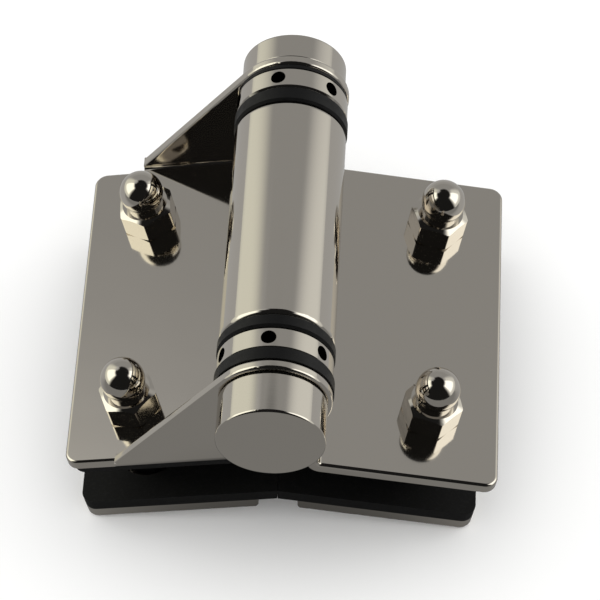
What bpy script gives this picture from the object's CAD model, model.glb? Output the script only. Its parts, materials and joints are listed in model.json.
"""Looks of a self-closing hinge for a glass gate: mirror-polished steel with black nylon and rubber."""

import json
import math

import bmesh
import bpy
from mathutils import Matrix, Vector


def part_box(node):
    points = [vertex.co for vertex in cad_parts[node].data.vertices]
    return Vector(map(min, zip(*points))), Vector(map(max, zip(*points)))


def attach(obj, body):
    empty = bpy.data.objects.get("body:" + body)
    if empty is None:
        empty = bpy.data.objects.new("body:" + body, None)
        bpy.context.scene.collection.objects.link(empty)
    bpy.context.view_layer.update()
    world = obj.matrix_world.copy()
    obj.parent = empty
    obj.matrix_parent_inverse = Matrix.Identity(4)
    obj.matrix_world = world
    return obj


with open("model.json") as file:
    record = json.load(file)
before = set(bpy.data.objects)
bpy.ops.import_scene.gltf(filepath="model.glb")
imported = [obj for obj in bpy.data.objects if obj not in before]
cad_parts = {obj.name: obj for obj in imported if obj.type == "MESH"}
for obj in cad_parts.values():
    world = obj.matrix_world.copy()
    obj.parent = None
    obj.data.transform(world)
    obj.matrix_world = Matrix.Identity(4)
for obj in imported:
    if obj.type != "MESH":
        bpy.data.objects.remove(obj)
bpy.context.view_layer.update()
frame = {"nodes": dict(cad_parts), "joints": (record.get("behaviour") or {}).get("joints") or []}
nodes = frame["nodes"]

bl_info = {
    "name": "Glass gate hinge",
    "version": (1, 0, 0),
    "blender": (4, 5, 0),
    "location": "View3D > Sidebar > Hinge",
    "description": "Finishes the pieces of a glass gate hinge and sets them in a white studio",
    "category": "Object",
}

# Places in the part's frame, in metres
swing_joint = next(joint for joint in frame["joints"] if joint["name"] == "leaf_swing")
HINGE_AXIS = Vector(swing_joint["pos_m"])
LEAF_TILT = math.radians(9.5)  # droop of each leaf at rest
ENDS = ("near", "far")
LEAVES = ("fixed", "swing")

# Finishes
CLOUD_RANGE = {"From Min": 0.3, "From Max": 0.75}  # where most values of a noise lie
BUFFING_STRETCH = (1.0, 0.02, 1.0)  # draws the buffing lines out along the barrel
MIRROR_ROUGHNESS = {"To Min": 0.05, "To Max": 0.1}  # clear and hazy patches of the polish
DRILLED_ROUGHNESS = 0.5

# Studio, in metres; azimuths run from +Y towards +X, in degrees
FLOOR_SIZE = 6.0
TENT_RADIUS = 1.5
TENT_DIVISIONS = 5
TENT_LEVEL = 1.15
WALL_LEVEL = 1.0
MAT_SIZE = 3.0
MAT_HEIGHT = 0.0002
MAT_LEVELS = (0.72, 1.3)  # in front of the hinge and behind it
MAT_TURN = (-0.06, 0.02)  # places along Y between which the level changes
MAT_SHADE = (0.042, 0.07)  # distances between which the mat comes out of the hinge's shadow
MAT_DARK = 0.3  # part of the level that stays in that shadow
# Areas of the tent: colour, level, azimuth, half width, elevation, half height and softness of the edge
TENT_AREAS = (
    ("grey", 1.0, -8.0, 46.0, 38.0, 20.0, 5.0),
    ("black", 1.0, 180.0, 62.0, 40.0, 52.0, 5.0),
    ("black", 1.0, 0.0, 190.0, 90.0, 32.0, 4.0),
    ("grey", 1.5, -49.0, 16.0, 55.0, 9.0, 6.0),
    ("left_window", 1.0, -80.0, 38.0, 23.0, 27.0, 9.0),
    ("left_window", 2.0, -88.0, 24.0, 33.0, 21.0, 5.0),
    ("right_window", 0.9, 82.0, 37.0, 23.0, 26.0, 9.0),
    ("right_window", 2.0, 88.0, 24.0, 33.0, 21.0, 5.0),
)
# Softboxes: name, azimuth, elevation, distance, width, height and radiance
SOFTBOXES = (
    ("right_softbox", 78.0, 30.0, 0.8, 0.55, 0.4, 2.0),
    ("left_softbox", -78.0, 24.0, 0.8, 0.55, 0.4, 2.0),
)
CAMERA_PLACE = (0.0336, -0.4467, 0.63253)
CAMERA_RIGHT = (0.9987, 0.0493, -0.0151)
CAMERA_UP = (-0.0305, 0.8012, 0.5977)
CAMERA_LENS = 198.0  # millimetres
CAMERA_SENSOR = 36.0  # millimetres
CAMERA_NEAR = 0.01


def linear(hex_colour):
    """Linear RGB of an sRGB colour written as six hex digits."""
    channels = [int(hex_colour[i : i + 2], 16) / 255.0 for i in (0, 2, 4)]
    return tuple(c / 12.92 if c <= 0.04045 else ((c + 0.055) / 1.055) ** 2.4 for c in channels)


def colour(name, text, hex_colour):
    """Colour property with a default written as a hex value."""
    return bpy.props.FloatVectorProperty(
        name=name, description=text, subtype="COLOR", size=3, min=0.0, max=1.0, default=linear(hex_colour)
    )


def length(name, text, millimetres):
    """Length property with a default written in millimetres."""
    metres = millimetres / 1000.0
    return bpy.props.FloatProperty(
        name=name, description=text, unit="LENGTH", subtype="DISTANCE", precision=6, default=metres
    )


class HingeColours(bpy.types.PropertyGroup):
    """Colours of the finishes and of the studio."""

    steel: colour("Polished steel", "Stainless steel of the leaves, barrel, rings, caps and nuts", "D2CCC3")
    drilled: colour("Drilled steel", "Dull, oily walls of the winding holes", "1A1917")
    weld: colour("Weld", "Faint straw tint that heat leaves on a polished weld", "C9BBA0")
    nylon: colour("Nylon", "Turned washers and bearing bushes", "0A0A0B")
    rubber: colour("Rubber", "Gaskets against the glass", "0B0B0B")
    talc: colour("Talc", "Dust that stays in the grain of the rubber", "4A4A49")
    wire: colour("Spring wire", "Drawn wire of the closing springs", "8A8A8C")
    streak: colour("Die streaks", "Darker streaks along the spring wire", "5E5D5E")
    blackened: colour("Blackened steel", "Lock screws in the tension rings", "3B3B3E")
    worn: colour("Worn black", "Paler patches where the blackening has worn", "6A6A6C")
    floor: colour("Floor", "Table under the hinge", "FCFCFB")
    white: colour("White", "Studio walls", "FFFFFF")
    grey: colour("Grey cloth", "Cloth of the tent and the mat, which the leaves mirror", "A0A09F")
    left_window: colour("Left window", "Daylight through the tent's left side", "F0F0E2")
    right_window: colour("Right window", "Daylight through the tent's right side", "F6F6F0")
    black: colour("Black drape", "Drape over and behind the camera, which the domes mirror", "1E1E1E")


class HingeSizes(bpy.types.PropertyGroup):
    """Sizes of the pieces added here and of the patterns in the finishes."""

    bead_radius: length("Weld bead", "Radius of the beads between the web and the barrel", 1.15)
    bead_ripple: length("Weld ripple", "Spacing of the ripples along a bead", 1.7)
    bead_inset: length("Weld ends", "Ends of the beads inside the ends of the barrel", 2.5)
    outer_bead_reach: length("Outer weld reach", "Outer bead from the hinge's axis, along the leaf", 12.2)
    outer_bead_drop: length("Outer weld drop", "Outer bead under the hinge's axis", 4.1)
    inner_bead_reach: length("Inner weld reach", "Inner bead from the hinge's axis, along the leaf", 9.8)
    inner_bead_drop: length("Inner weld drop", "Inner bead under the hinge's axis", 8.8)
    sheet_wave: length("Sheet waves", "Length of the slow waves in the polished sheet", 16.0)
    wave_depth: length("Wave depth", "Depth of the slow waves in the polished sheet", 0.04)
    sheet_haze: length("Sheet haze", "Size of the patches of haze on the sheet", 20.0)
    buff_line: length("Buffing lines", "Spacing of the buffing lines, drawn coarse enough to show", 0.35)
    buff_depth: length("Buffing depth", "Depth of the buffing lines", 0.002)
    turn_line: length("Turning lines", "Spacing of the turning lines, drawn coarse enough to show", 0.3)
    turn_depth: length("Turning depth", "Depth of the turning lines in steel", 0.003)
    turn_haze: length("Turned haze", "Size of the patches of haze on the turned pieces", 12.0)
    dimple: length("Dimples", "Size of the dimples that tumbling leaves on the nuts", 2.5)
    dimple_depth: length("Dimple depth", "Depth of the dimples on the nuts", 0.02)
    nut_haze: length("Nut haze", "Size of the patches of haze on the nuts", 4.0)
    weld_cloud: length("Weld tint", "Size of the clouds in the weld's tint", 3.0)
    scuff: length("Weld scuffs", "Size of the scuffs that brushing leaves on the weld", 0.6)
    scuff_depth: length("Scuff depth", "Depth of the scuffs on the weld", 0.03)
    nylon_depth: length("Nylon depth", "Depth of the turning lines in nylon", 0.02)
    nylon_bloom: length("Nylon bloom", "Size of the duller patches on the nylon", 1.8)
    rubber_grain: length("Rubber grain", "Size of the grain in the die-cut rubber", 0.5)
    grain_depth: length("Grain depth", "Depth of the grain in the rubber", 0.06)
    wire_streak: length("Wire streaks", "Size of the streaks on the spring wire", 0.8)
    streak_depth: length("Streak depth", "Depth of the streaks on the spring wire", 0.02)
    wear_patch: length("Wear", "Size of the worn patches on the lock screws", 1.2)
    ring_width: length("Ring width", "Width of a tension ring between its faces", 5.6)
    hole_band: length("Hole band", "Half the width of the band that holds the winding holes", 2.1)
    hole_skin: length("Hole skin", "Radius of a ring's skin, inside which its holes are dull", 12.55)


def add_node(tree, kind, inputs=None, output=0, **settings):
    """Adds a node with its settings, feeds its inputs from values or sockets and gives an output."""
    node = tree.nodes.new(kind)
    for name, value in settings.items():
        setattr(node, name, value)
    for name, value in (inputs or {}).items():
        if isinstance(value, bpy.types.NodeSocket):
            tree.links.new(value, node.inputs[name])
        else:
            node.inputs[name].default_value = value
    return node.outputs[output]


def finish(recipe):
    """Material of a recipe, named after it and made once."""
    material = bpy.data.materials.get(recipe.__name__)
    if material is None:
        material = bpy.data.materials.new(recipe.__name__)
        material.use_nodes = True
        tree = material.node_tree
        tree.nodes.clear()
        scene = bpy.context.scene
        shader = recipe(tree, scene.hinge_colours, scene.hinge_sizes)
        end = tree.nodes.new("ShaderNodeOutputMaterial")
        tree.links.new(shader, end.inputs["Surface"])
    return material


def opaque(rgb, level=1.0):
    """Colour socket value of a colour at a level."""
    return (*(channel * level for channel in rgb), 1.0)


def mirror_polished_sheet(tree, colours, sizes):
    """Mirror-polished stainless sheet: a clear mirror with slow waves, faint buffing lines and haze."""
    place = add_node(tree, "ShaderNodeTexCoord", output="Object")
    waves = add_node(
        tree, "ShaderNodeTexNoise", {"Vector": place, "Scale": 1.0 / sizes.sheet_wave, "Detail": 1.0}
    )
    along = add_node(tree, "ShaderNodeMapping", {"Vector": place, "Scale": BUFFING_STRETCH})
    lines = add_node(
        tree, "ShaderNodeTexNoise", {"Vector": along, "Scale": 1.0 / sizes.buff_line, "Detail": 2.0}
    )
    haze = add_node(
        tree, "ShaderNodeTexNoise", {"Vector": place, "Scale": 1.0 / sizes.sheet_haze, "Detail": 4.0}
    )
    wavy = add_node(
        tree, "ShaderNodeBump", {"Height": waves, "Strength": 1.0, "Distance": sizes.wave_depth}
    )
    lined = add_node(
        tree,
        "ShaderNodeBump",
        {"Height": lines, "Strength": 0.5, "Distance": sizes.buff_depth, "Normal": wavy},
    )
    gloss = add_node(tree, "ShaderNodeMapRange", {"Value": haze, **CLOUD_RANGE, **MIRROR_ROUGHNESS})
    return add_node(
        tree,
        "ShaderNodeBsdfPrincipled",
        {"Base Color": opaque(colours.steel), "Metallic": 1.0, "Roughness": gloss, "Normal": lined},
    )


def turned_polished_bar(tree, colours, sizes):
    """Turned and polished stainless bar: a mirror with hair-fine rings, dark and dull in drilled holes."""
    place = add_node(tree, "ShaderNodeTexCoord", output="Object")
    centred = add_node(tree, "ShaderNodeMapping", {"Vector": place, "Location": -HINGE_AXIS})
    parts = add_node(tree, "ShaderNodeSeparateXYZ", {"Vector": centred}).node.outputs
    flat = add_node(tree, "ShaderNodeCombineXYZ", {"X": parts["X"], "Z": parts["Z"]})
    radius = add_node(tree, "ShaderNodeVectorMath", {"Vector": flat}, "Value", operation="LENGTH")
    ring = add_node(tree, "ShaderNodeCombineXYZ", {"X": radius, "Y": parts["Y"]})
    lines = add_node(
        tree, "ShaderNodeTexNoise", {"Vector": ring, "Scale": 1.0 / sizes.turn_line, "Detail": 3.0}
    )
    haze = add_node(
        tree, "ShaderNodeTexNoise", {"Vector": place, "Scale": 1.0 / sizes.turn_haze, "Detail": 4.0}
    )
    lined = add_node(
        tree, "ShaderNodeBump", {"Height": lines, "Strength": 0.6, "Distance": sizes.turn_depth}
    )
    near_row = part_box("near_tension_ring")[0].y + sizes.ring_width / 2.0
    far_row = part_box("far_tension_ring")[1].y - sizes.ring_width / 2.0
    middle = (near_row + far_row) / 2.0
    offset = add_node(tree, "ShaderNodeMath", {0: parts["Y"], 1: middle}, operation="SUBTRACT")
    away = add_node(tree, "ShaderNodeMath", {0: offset}, operation="ABSOLUTE")
    in_row = add_node(
        tree, "ShaderNodeMath", {0: away, 1: far_row - middle, 2: sizes.hole_band}, operation="COMPARE"
    )
    inside = add_node(tree, "ShaderNodeMath", {0: radius, 1: sizes.hole_skin}, operation="LESS_THAN")
    in_hole = add_node(tree, "ShaderNodeMath", {0: in_row, 1: inside}, operation="MULTIPLY")
    tone = add_node(
        tree,
        "ShaderNodeMix",
        {"A": opaque(colours.steel), "B": opaque(colours.drilled), "Factor": in_hole},
        "Result",
        data_type="RGBA",
    )
    gloss = add_node(tree, "ShaderNodeMapRange", {"Value": haze, **CLOUD_RANGE, **MIRROR_ROUGHNESS})
    dulled = add_node(
        tree, "ShaderNodeMix", {"A": gloss, "B": DRILLED_ROUGHNESS, "Factor": in_hole}, "Result"
    )
    return add_node(
        tree,
        "ShaderNodeBsdfPrincipled",
        {"Base Color": tone, "Metallic": 1.0, "Roughness": dulled, "Normal": lined},
    )


def tumble_polished_nut(tree, colours, sizes):
    """Tumble-polished stainless nut: bright, with the soft dimples that tumbling leaves on the flats."""
    place = add_node(tree, "ShaderNodeTexCoord", output="Object")
    dimples = add_node(
        tree, "ShaderNodeTexNoise", {"Vector": place, "Scale": 1.0 / sizes.dimple, "Detail": 2.0}
    )
    haze = add_node(
        tree, "ShaderNodeTexNoise", {"Vector": place, "Scale": 1.0 / sizes.nut_haze, "Detail": 4.0}
    )
    dimpled = add_node(
        tree, "ShaderNodeBump", {"Height": dimples, "Strength": 0.5, "Distance": sizes.dimple_depth}
    )
    gloss = add_node(
        tree, "ShaderNodeMapRange", {"Value": haze, **CLOUD_RANGE, "To Min": 0.05, "To Max": 0.11}
    )
    return add_node(
        tree,
        "ShaderNodeBsdfPrincipled",
        {"Base Color": opaque(colours.steel), "Metallic": 1.0, "Roughness": gloss, "Normal": dimpled},
    )


def brush_polished_weld(tree, colours, sizes):
    """Brush-polished weld: bright crowns with clouds of straw tint and the scuffs of the brush."""
    place = add_node(tree, "ShaderNodeTexCoord", output="Object")
    cloud = add_node(
        tree, "ShaderNodeTexNoise", {"Vector": place, "Scale": 1.0 / sizes.weld_cloud, "Detail": 5.0}
    )
    tint = add_node(
        tree,
        "ShaderNodeMix",
        {"A": opaque(colours.steel), "B": opaque(colours.weld), "Factor": cloud},
        "Result",
        data_type="RGBA",
    )
    scuffs = add_node(
        tree, "ShaderNodeTexNoise", {"Vector": place, "Scale": 1.0 / sizes.scuff, "Detail": 3.0}
    )
    scuffed = add_node(
        tree, "ShaderNodeBump", {"Height": scuffs, "Strength": 0.5, "Distance": sizes.scuff_depth}
    )
    gloss = add_node(
        tree, "ShaderNodeMapRange", {"Value": scuffs, **CLOUD_RANGE, "To Min": 0.16, "To Max": 0.28}
    )
    return add_node(
        tree,
        "ShaderNodeBsdfPrincipled",
        {"Base Color": tint, "Metallic": 1.0, "Roughness": gloss, "Normal": scuffed},
    )


def turned_black_nylon(tree, colours, sizes):
    """Turned black nylon: a satin black whose fine turning rings spread the highlights."""
    place = add_node(tree, "ShaderNodeTexCoord", output="Object")
    parts = add_node(tree, "ShaderNodeSeparateXYZ", {"Vector": place}).node.outputs
    along = add_node(tree, "ShaderNodeCombineXYZ", {"Y": parts["Y"]})
    lines = add_node(
        tree, "ShaderNodeTexNoise", {"Vector": along, "Scale": 1.0 / sizes.turn_line, "Detail": 2.0}
    )
    bloom = add_node(
        tree, "ShaderNodeTexNoise", {"Vector": place, "Scale": 1.0 / sizes.nylon_bloom, "Detail": 4.0}
    )
    lined = add_node(
        tree, "ShaderNodeBump", {"Height": lines, "Strength": 0.4, "Distance": sizes.nylon_depth}
    )
    gloss = add_node(
        tree, "ShaderNodeMapRange", {"Value": bloom, **CLOUD_RANGE, "To Min": 0.4, "To Max": 0.58}
    )
    return add_node(
        tree,
        "ShaderNodeBsdfPrincipled",
        {
            "Base Color": opaque(colours.nylon),
            "Roughness": gloss,
            "Specular IOR Level": 0.25,
            "Normal": lined,
        },
    )


def die_cut_rubber(tree, colours, sizes):
    """Die-cut black rubber: matt, grained, a little greyer where talc stays in the grain."""
    place = add_node(tree, "ShaderNodeTexCoord", output="Object")
    grain = add_node(
        tree, "ShaderNodeTexNoise", {"Vector": place, "Scale": 1.0 / sizes.rubber_grain, "Detail": 5.0}
    )
    dust = add_node(
        tree, "ShaderNodeMapRange", {"Value": grain, **CLOUD_RANGE, "To Min": -0.1, "To Max": 0.1}
    )
    dusty = add_node(
        tree,
        "ShaderNodeMix",
        {"A": opaque(colours.rubber), "B": opaque(colours.talc), "Factor": dust},
        "Result",
        data_type="RGBA",
    )
    grained = add_node(
        tree, "ShaderNodeBump", {"Height": grain, "Strength": 0.6, "Distance": sizes.grain_depth}
    )
    return add_node(
        tree,
        "ShaderNodeBsdfPrincipled",
        {"Base Color": dusty, "Roughness": 0.72, "Specular IOR Level": 0.3, "Normal": grained},
    )


def drawn_spring_wire(tree, colours, sizes):
    """Drawn spring wire: grey and satin, with the streaks of the drawing die."""
    place = add_node(tree, "ShaderNodeTexCoord", output="Object")
    streaks = add_node(
        tree, "ShaderNodeTexNoise", {"Vector": place, "Scale": 1.0 / sizes.wire_streak, "Detail": 4.0}
    )
    tone = add_node(
        tree,
        "ShaderNodeMix",
        {"A": opaque(colours.wire), "B": opaque(colours.streak), "Factor": streaks},
        "Result",
        data_type="RGBA",
    )
    drawn = add_node(
        tree, "ShaderNodeBump", {"Height": streaks, "Strength": 0.4, "Distance": sizes.streak_depth}
    )
    return add_node(
        tree,
        "ShaderNodeBsdfPrincipled",
        {"Base Color": tone, "Metallic": 1.0, "Roughness": 0.32, "Normal": drawn},
    )


def blackened_alloy_steel(tree, colours, sizes):
    """Blackened alloy steel: near black with a dull oil sheen and worn, paler patches."""
    place = add_node(tree, "ShaderNodeTexCoord", output="Object")
    wear = add_node(
        tree, "ShaderNodeTexNoise", {"Vector": place, "Scale": 1.0 / sizes.wear_patch, "Detail": 5.0}
    )
    tone = add_node(
        tree,
        "ShaderNodeMix",
        {"A": opaque(colours.blackened), "B": opaque(colours.worn), "Factor": wear},
        "Result",
        data_type="RGBA",
    )
    gloss = add_node(
        tree, "ShaderNodeMapRange", {"Value": wear, **CLOUD_RANGE, "To Min": 0.32, "To Max": 0.48}
    )
    return add_node(
        tree, "ShaderNodeBsdfPrincipled", {"Base Color": tone, "Metallic": 1.0, "Roughness": gloss}
    )


def white_table(tree, colours, sizes):
    """White laminate table: a plain, matt white that takes a soft shadow."""
    return add_node(
        tree,
        "ShaderNodeBsdfPrincipled",
        {"Base Color": opaque(colours.floor), "Roughness": 0.9, "Specular IOR Level": 0.2},
    )


def grey_table_mat(tree, colours, sizes):
    """Grey mat that the steel mirrors in place of the table, darker in front and in the hinge's shadow."""
    place = add_node(tree, "ShaderNodeTexCoord", output="Object")
    parts = add_node(tree, "ShaderNodeSeparateXYZ", {"Vector": place}).node.outputs
    away = add_node(tree, "ShaderNodeVectorMath", {"Vector": place}, "Value", operation="LENGTH")
    factors = []
    for value, turn, levels in ((parts["Y"], MAT_TURN, MAT_LEVELS), (away, MAT_SHADE, (MAT_DARK, 1.0))):
        ends = {"From Min": turn[0], "From Max": turn[1], "To Min": levels[0], "To Max": levels[1]}
        factor = add_node(
            tree, "ShaderNodeMapRange", {"Value": value, **ends}, interpolation_type="SMOOTHSTEP"
        )
        factors.append(factor)
    strength = add_node(tree, "ShaderNodeMath", {0: factors[0], 1: factors[1]}, operation="MULTIPLY")
    return add_node(tree, "ShaderNodeEmission", {"Color": opaque(colours.grey), "Strength": strength})


def studio_tent(tree, colours, sizes):
    """Grey tent with soft-edged dark and bright areas, which the polished steel mirrors."""
    place = add_node(tree, "ShaderNodeTexCoord", output="Object")
    centred = add_node(tree, "ShaderNodeMapping", {"Vector": place, "Location": -HINGE_AXIS})
    way = add_node(tree, "ShaderNodeVectorMath", {"Vector": centred}, operation="NORMALIZE")
    parts = add_node(tree, "ShaderNodeSeparateXYZ", {"Vector": way}).node.outputs
    azimuth = add_node(tree, "ShaderNodeMath", {0: parts["X"], 1: parts["Y"]}, operation="ARCTAN2")
    elevation = add_node(tree, "ShaderNodeMath", {0: parts["Z"]}, operation="ARCSINE")
    glow = opaque(colours.grey, TENT_LEVEL)
    for shade, level, across, half_width, up, half_height, edge in TENT_AREAS:
        masks = []
        for angle, centre, half in ((azimuth, across, half_width), (elevation, up, half_height)):
            offset = add_node(
                tree, "ShaderNodeMath", {0: angle, 1: math.radians(centre)}, operation="SUBTRACT"
            )
            turned = add_node(
                tree, "ShaderNodeMath", {0: offset, 1: math.pi, 2: -math.pi}, operation="WRAP"
            )
            size = add_node(tree, "ShaderNodeMath", {0: turned}, operation="ABSOLUTE")
            mask = add_node(
                tree,
                "ShaderNodeMapRange",
                {
                    "Value": size,
                    "From Min": math.radians(half - edge),
                    "From Max": math.radians(half + edge),
                    "To Min": 1.0,
                    "To Max": 0.0,
                },
                interpolation_type="SMOOTHSTEP",
            )
            masks.append(mask)
        area = add_node(tree, "ShaderNodeMath", {0: masks[0], 1: masks[1]}, operation="MULTIPLY")
        glow = add_node(
            tree,
            "ShaderNodeMix",
            {"A": glow, "B": opaque(getattr(colours, shade), level), "Factor": area},
            "Result",
            data_type="RGBA",
        )
    return add_node(tree, "ShaderNodeEmission", {"Color": glow})


def paint(material, *names):
    """Gives CAD nodes a material."""
    for name in names:
        mesh = nodes[name].data
        mesh.materials.clear()
        mesh.materials.append(material)


def new_piece(name, mesh_builder, material):
    """Object made from a bmesh, smooth-shaded, with a material."""
    mesh = bpy.data.meshes.new(name)
    mesh_builder.to_mesh(mesh)
    mesh_builder.free()
    mesh.shade_smooth()
    mesh.materials.append(material)
    piece = bpy.data.objects.new(name, mesh)
    bpy.context.scene.collection.objects.link(piece)
    return piece


def leaf_place(x, y, z):
    """Point along the swinging leaf, along the barrel and along the leaf's normal from the hinge's axis."""
    outward = Vector((math.cos(LEAF_TILT), 0.0, -math.sin(LEAF_TILT)))
    normal = Vector((math.sin(LEAF_TILT), 0.0, math.cos(LEAF_TILT)))
    return Vector((HINGE_AXIS.x, y, HINGE_AXIS.z)) + outward * x + normal * z


class HINGE_OT_leaves(bpy.types.Operator):
    """Finish both leaves and lay the weld beads between the swinging leaf's web and the barrel"""

    bl_idname = "hinge.leaves"
    bl_label = "Leaves and welds"

    def execute(self, context):
        sizes = context.scene.hinge_sizes
        paint(finish(mirror_polished_sheet), "fixed_leaf", "swing_leaf")
        low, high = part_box("barrel")
        run = high.y - low.y - 2.0 * sizes.bead_inset
        for name, reach, drop in (
            ("weld_bead_outer", sizes.outer_bead_reach, sizes.outer_bead_drop),
            ("weld_bead_inner", sizes.inner_bead_reach, sizes.inner_bead_drop),
        ):
            start = leaf_place(reach, low.y + sizes.bead_inset, -drop)
            piece = new_piece(name, self.bead(start, run, sizes), finish(brush_polished_weld))
            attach(piece, "swing_side")
        return {"FINISHED"}

    def bead(self, start, run, sizes):
        """Round bead along the barrel that swells and narrows with each ripple."""
        sides = 20
        steps_per_ripple = 4
        end_size = 0.6  # of the bead's radius
        swell = 0.07  # of the bead's radius
        steps = round(run / sizes.bead_ripple) * steps_per_ripple
        step = Vector((0.0, run / steps, 0.0))
        centre = Matrix.Translation(-start)
        bm = bmesh.new()
        facing = Matrix.Translation(start) @ Matrix.Rotation(math.radians(-90.0), 4, "X")
        radius = sizes.bead_radius * end_size
        bmesh.ops.create_circle(bm, cap_ends=True, segments=sides, radius=radius, matrix=facing)
        face = bm.faces[:]
        size = end_size
        for count in range(1, steps + 1):
            grown = bmesh.ops.extrude_face_region(bm, geom=face)["geom"]
            if count > 1:
                bmesh.ops.delete(bm, geom=face, context="FACES_ONLY")
            face = [item for item in grown if isinstance(item, bmesh.types.BMFace)]
            verts = [item for item in grown if isinstance(item, bmesh.types.BMVert)]
            bmesh.ops.translate(bm, vec=step, verts=verts)
            phase = count % steps_per_ripple / steps_per_ripple
            new_size = end_size if count == steps else 1.0 - swell + swell * math.sin(math.pi * phase)
            growth = new_size / size
            bmesh.ops.scale(bm, vec=(growth, 1.0, growth), space=centre, verts=verts)
            size = new_size
        bmesh.ops.recalc_face_normals(bm, faces=bm.faces[:])
        return bm


class HINGE_OT_barrel(bpy.types.Operator):
    """Finish the barrel, its bushes, the tension rings and the lock screws"""

    bl_idname = "hinge.barrel"
    bl_label = "Barrel and rings"

    def execute(self, context):
        paint(finish(turned_polished_bar), "barrel", *(f"{end}_tension_ring" for end in ENDS))
        paint(finish(blackened_alloy_steel), *(f"{end}_lock_screw" for end in ENDS))
        paint(finish(turned_black_nylon), *(f"{end}_bearing_bush" for end in ENDS))
        return {"FINISHED"}


class HINGE_OT_caps(bpy.types.Operator):
    """Finish the spindle, its end caps and the washers"""

    bl_idname = "hinge.caps"
    bl_label = "Spindle and caps"

    def execute(self, context):
        paint(finish(turned_polished_bar), "spindle", *(f"{end}_end_cap" for end in ENDS))
        for washer in ("cap_washer", "slip_washer"):
            paint(finish(turned_black_nylon), *(f"{end}_{washer}" for end in ENDS))
        return {"FINISHED"}


class HINGE_OT_springs(bpy.types.Operator):
    """Finish the springs and their anchor inside the barrel"""

    bl_idname = "hinge.springs"
    bl_label = "Springs"

    def execute(self, context):
        paint(finish(drawn_spring_wire), *(f"{end}_spring" for end in ENDS))
        paint(finish(turned_polished_bar), "spring_anchor", "anchor_pin")
        return {"FINISHED"}


class HINGE_OT_clamps(bpy.types.Operator):
    """Finish the gaskets, back plates, screws, bushes and domed nuts of both glass clamps"""

    bl_idname = "hinge.clamps"
    bl_label = "Glass clamps"

    def execute(self, context):
        for leaf in LEAVES:
            paint(finish(die_cut_rubber), f"{leaf}_outer_gasket", f"{leaf}_inner_gasket")
            paint(finish(mirror_polished_sheet), f"{leaf}_back_plate")
            for end in ENDS:
                paint(finish(tumble_polished_nut), f"{leaf}_{end}_cap_nut", f"{leaf}_{end}_screw")
                paint(finish(turned_black_nylon), f"{leaf}_{end}_glass_bush")
        return {"FINISHED"}


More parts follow.
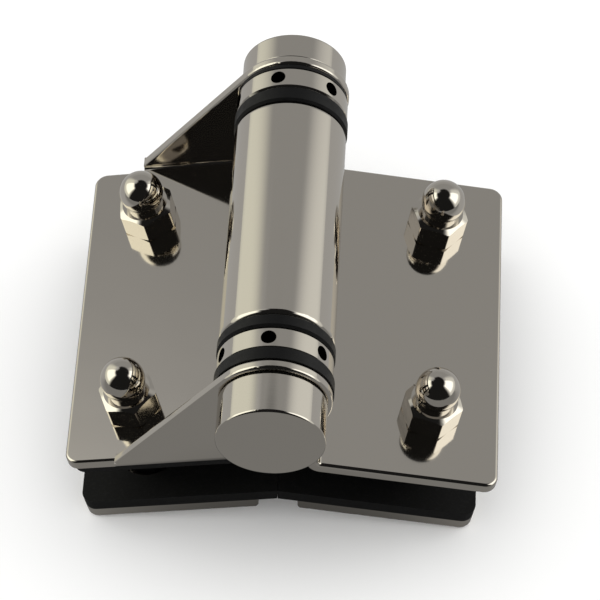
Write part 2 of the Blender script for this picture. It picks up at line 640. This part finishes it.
class HINGE_OT_stage(bpy.types.Operator):
    """Lay the table, pitch the tent, hang the softboxes and place the camera"""

    bl_idname = "hinge.stage"
    bl_label = "Studio"

    def execute(self, context):
        context.scene.view_settings.view_transform = "Standard"
        self.walls(context.scene)
        self.table()
        self.tent()
        self.softboxes(context.scene)
        self.camera(context.scene)
        return {"FINISHED"}

    def walls(self, scene):
        """Plain white walls all round, which light the hinge evenly."""
        world = bpy.data.worlds.new("studio_walls")
        world.use_nodes = True
        tree = world.node_tree
        tree.nodes.clear()
        white = opaque(scene.hinge_colours.white)
        light = add_node(tree, "ShaderNodeBackground", {"Color": white, "Strength": WALL_LEVEL})
        end = tree.nodes.new("ShaderNodeOutputWorld")
        tree.links.new(light, end.inputs["Surface"])
        scene.world = world

    def sheet(self, name, size, height, recipe):
        """Square sheet on the stage."""
        bm = bmesh.new()
        level = Matrix.Translation((0.0, 0.0, height))
        bmesh.ops.create_grid(bm, x_segments=1, y_segments=1, size=size / 2.0, matrix=level)
        piece = new_piece(name, bm, finish(recipe))
        return piece

    def only_mirrored(self, piece):
        """Lets polished surfaces mirror a piece that nothing else sees or is lit by."""
        piece.visible_camera = False
        piece.visible_diffuse = False
        piece.visible_shadow = False

    def table(self):
        """White table, and the grey mat that reflections show in its place."""
        self.sheet("table", FLOOR_SIZE, 0.0, white_table)
        self.only_mirrored(self.sheet("table_mat", MAT_SIZE, MAT_HEIGHT, grey_table_mat))

    def tent(self):
        """Tent round the hinge, for reflections only."""
        bm = bmesh.new()
        centre = Matrix.Translation(HINGE_AXIS)
        bmesh.ops.create_icosphere(bm, subdivisions=TENT_DIVISIONS, radius=TENT_RADIUS, matrix=centre)
        piece = new_piece("tent", bm, finish(studio_tent))
        self.only_mirrored(piece)

    def softboxes(self, scene):
        """Softbox at each side; the tent's bright areas stand for them in reflections."""
        for name, azimuth, elevation, distance, width, height, radiance in SOFTBOXES:
            across = math.radians(azimuth)
            up = math.radians(elevation)
            way = Vector((math.sin(across) * math.cos(up), math.cos(across) * math.cos(up), math.sin(up)))
            lamp = bpy.data.lights.new(name, "AREA")
            lamp.shape = "RECTANGLE"
            lamp.size = width
            lamp.size_y = height
            lamp.energy = radiance * math.pi * width * height
            light = bpy.data.objects.new(name, lamp)
            facing = way.to_track_quat("Z", "Y").to_matrix().to_4x4()
            light.matrix_world = Matrix.Translation(HINGE_AXIS + way * distance) @ facing
            light.visible_glossy = False
            scene.collection.objects.link(light)

    def camera(self, scene):
        """Camera at the photograph's angle."""
        right = Vector(CAMERA_RIGHT).normalized()
        up = Vector(CAMERA_UP)
        up = (up - right * up.dot(right)).normalized()
        lens = bpy.data.cameras.new("camera")
        lens.lens = CAMERA_LENS
        lens.sensor_width = CAMERA_SENSOR
        lens.clip_start = CAMERA_NEAR
        camera = bpy.data.objects.new("camera", lens)
        turn = Matrix((right, up, right.cross(up))).transposed().to_4x4()
        camera.matrix_world = Matrix.Translation(CAMERA_PLACE) @ turn
        scene.collection.objects.link(camera)
        scene.camera = camera


OPERATORS = (
    HINGE_OT_leaves,
    HINGE_OT_barrel,
    HINGE_OT_caps,
    HINGE_OT_springs,
    HINGE_OT_clamps,
    HINGE_OT_stage,
)


class HINGE_PT_panel(bpy.types.Panel):
    """Lists the hinge's operators with the sizes and colours that they use"""

    bl_idname = "HINGE_PT_panel"
    bl_label = "Glass gate hinge"
    bl_space_type = "VIEW_3D"
    bl_region_type = "UI"
    bl_category = "Hinge"

    def draw(self, context):
        layout = self.layout
        for operator in OPERATORS:
            layout.operator(operator.bl_idname)
        for settings in (context.scene.hinge_sizes, context.scene.hinge_colours):
            column = layout.column()
            for name in settings.__annotations__:
                column.prop(settings, name)


CLASSES = (HingeColours, HingeSizes, *OPERATORS, HINGE_PT_panel)


def register():
    for cls in CLASSES:
        bpy.utils.register_class(cls)
    bpy.types.Scene.hinge_colours = bpy.props.PointerProperty(type=HingeColours)
    bpy.types.Scene.hinge_sizes = bpy.props.PointerProperty(type=HingeSizes)


def unregister():
    del bpy.types.Scene.hinge_sizes
    del bpy.types.Scene.hinge_colours
    for cls in reversed(CLASSES):
        bpy.utils.unregister_class(cls)


def main():
    register()
    bpy.ops.hinge.leaves()
    bpy.ops.hinge.barrel()
    bpy.ops.hinge.caps()
    bpy.ops.hinge.springs()
    bpy.ops.hinge.clamps()
    bpy.ops.hinge.stage()


if __name__ == "__main__":
    main()
